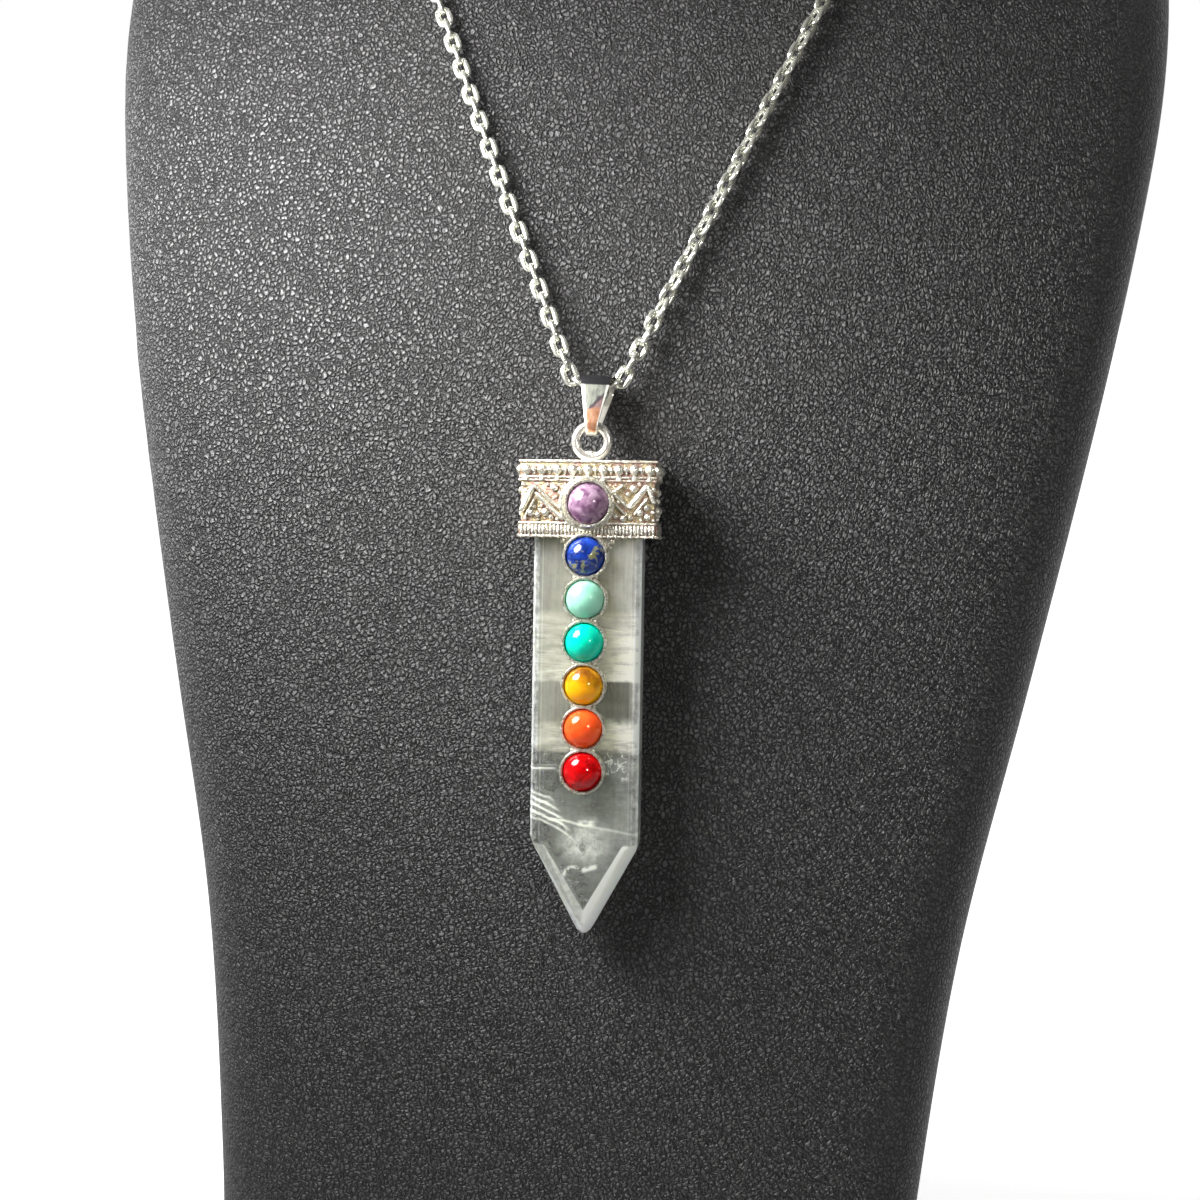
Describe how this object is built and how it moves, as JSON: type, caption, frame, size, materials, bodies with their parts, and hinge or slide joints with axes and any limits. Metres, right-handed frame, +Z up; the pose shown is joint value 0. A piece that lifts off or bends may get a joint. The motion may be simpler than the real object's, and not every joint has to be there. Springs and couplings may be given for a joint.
{
  "type": "quartz necklace on a neck bust",
  "caption": "Silver link chain necklace with a folded bail, an ornate cap, a flat pointed quartz bar and a line of domed round stones, shown on a black leatherette neck bust.",
  "frame": {"origin": "centre of the bounding box on the underside of the bust, which stands on its flat base", "axes": "+Z up the bust, the chest and the pendant face -Y, +X to the viewer's right"},
  "size_m": [0.1512, 0.1401, 0.31],
  "materials": {
    "leatherette": "satin",
    "silver": "polished",
    "quartz": "gloss",
    "violet_stone": "gloss",
    "blue_stone": "gloss",
    "aqua_stone": "gloss",
    "green_stone": "gloss",
    "amber_stone": "gloss",
    "orange_stone": "gloss",
    "red_stone": "gloss"
  },
  "bodies": {
    "bust_and_chain": {"bust": "leatherette", "chain": "silver", "clasp": "silver"},
    "bail": {"bail": "silver"},
    "pendant": {"cap": "silver", "crystal": "quartz", "stone_violet": "violet_stone", "stone_blue": "blue_stone", "stone_aqua": "aqua_stone", "stone_green": "green_stone", "stone_amber": "amber_stone", "stone_orange": "orange_stone", "stone_red": "red_stone"}
  },
  "joints": [
    {"name": "bail_swing", "type": "hinge", "parent": "bust_and_chain", "child": "bail", "pos_m": [0, -0.04851, 0.13942], "axis": [-1, 0, 0], "range_deg": [0, 60]},
    {"name": "pendant_swing", "type": "hinge", "parent": "bail", "child": "pendant", "pos_m": [0, -0.05204, 0.13539], "axis": [-1, 0, 0], "range_deg": [0, 75]}
  ]
}
